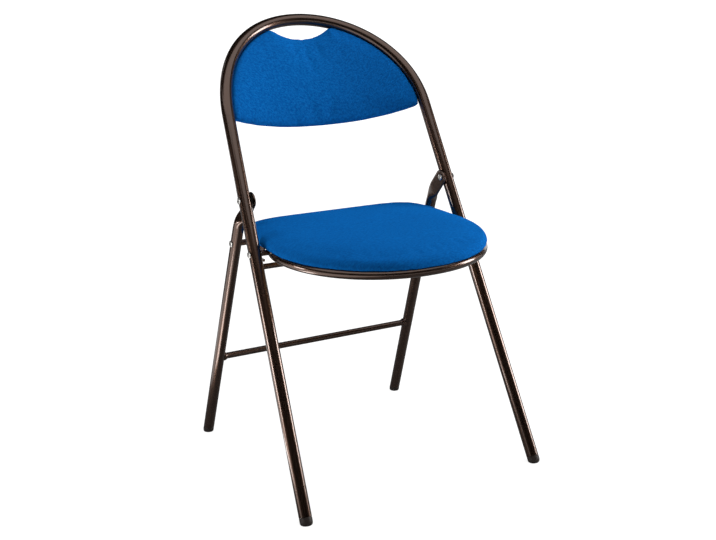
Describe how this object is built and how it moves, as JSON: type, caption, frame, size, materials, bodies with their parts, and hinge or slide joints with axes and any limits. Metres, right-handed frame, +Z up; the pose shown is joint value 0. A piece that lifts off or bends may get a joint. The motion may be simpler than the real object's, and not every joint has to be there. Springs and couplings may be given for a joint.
{
  "type": "folding chair",
  "caption": "Folding chair: a bent tube hoop frame with hinged rear legs, a padded seat on a round tube ring and a bowed half-moon back pad.",
  "frame": {"origin": "on the floor, at the centre of the chair's bounding box seen from above", "axes": "+Z up, -Y is the way the chair faces, +X is across the chair, to the right of someone who looks at its front"},
  "size_m": [0.498, 0.4834, 0.7857],
  "materials": {
    "frame_paint": "dark chocolate-brown gloss paint",
    "fabric": "royal blue woven upholstery cloth",
    "board": "plain plywood",
    "fittings": "dark brown painted steel",
    "rivet_steel": "bright bare steel rivets",
    "foot_plastic": "dark brown moulded plastic"
  },
  "bodies": {
    "main_frame": {"hoop_frame": "frame_paint", "front_crossbar": "frame_paint", "back_board": "board", "back_pad": "fabric", "back_screw_1": "fittings", "back_screw_2": "fittings", "back_screw_3": "fittings", "back_screw_4": "fittings", "front_foot_left": "foot_plastic", "front_foot_right": "foot_plastic", "leg_pivot_rivet_left": "rivet_steel", "leg_pivot_rivet_right": "rivet_steel", "leg_pivot_washer_left": "foot_plastic", "leg_pivot_washer_right": "foot_plastic", "seat_pivot_rivet_left": "rivet_steel", "seat_pivot_rivet_right": "rivet_steel"},
    "rear_legs": {"rear_crossbar": "frame_paint", "rear_leg_left": "frame_paint", "rear_leg_right": "frame_paint", "rear_foot_left": "foot_plastic", "rear_foot_right": "foot_plastic", "slot_pin_left": "rivet_steel", "slot_pin_right": "rivet_steel"},
    "seat": {"seat_ring": "frame_paint", "seat_board": "board", "seat_pad": "fabric", "seat_screw_1": "fittings", "seat_screw_2": "fittings", "seat_screw_3": "fittings", "seat_screw_4": "fittings", "slide_plate_screw_1": "fittings", "slide_plate_screw_2": "fittings", "slide_plate_screw_3": "fittings", "slide_plate_screw_4": "fittings", "seat_bush_left": "fittings", "seat_bush_right": "fittings", "slide_plate_left": "fittings", "slide_plate_right": "fittings"}
  },
  "joints": [
    {"name": "leg_fold", "type": "hinge", "parent": "main_frame", "child": "rear_legs", "pos_m": [0, 0.0277, 0.48959], "axis": [-1, 0, 0], "range_deg": [0, 42.4]},
    {"name": "seat_fold", "type": "hinge", "parent": "main_frame", "child": "seat", "pos_m": [0, -0.01734, 0.40503], "axis": [1, 0, 0], "range_deg": [0, 59.9]}
  ],
  "couplings": [
    {"joint": "seat_fold", "follows": "leg_fold", "ratio": 1.412}
  ]
}
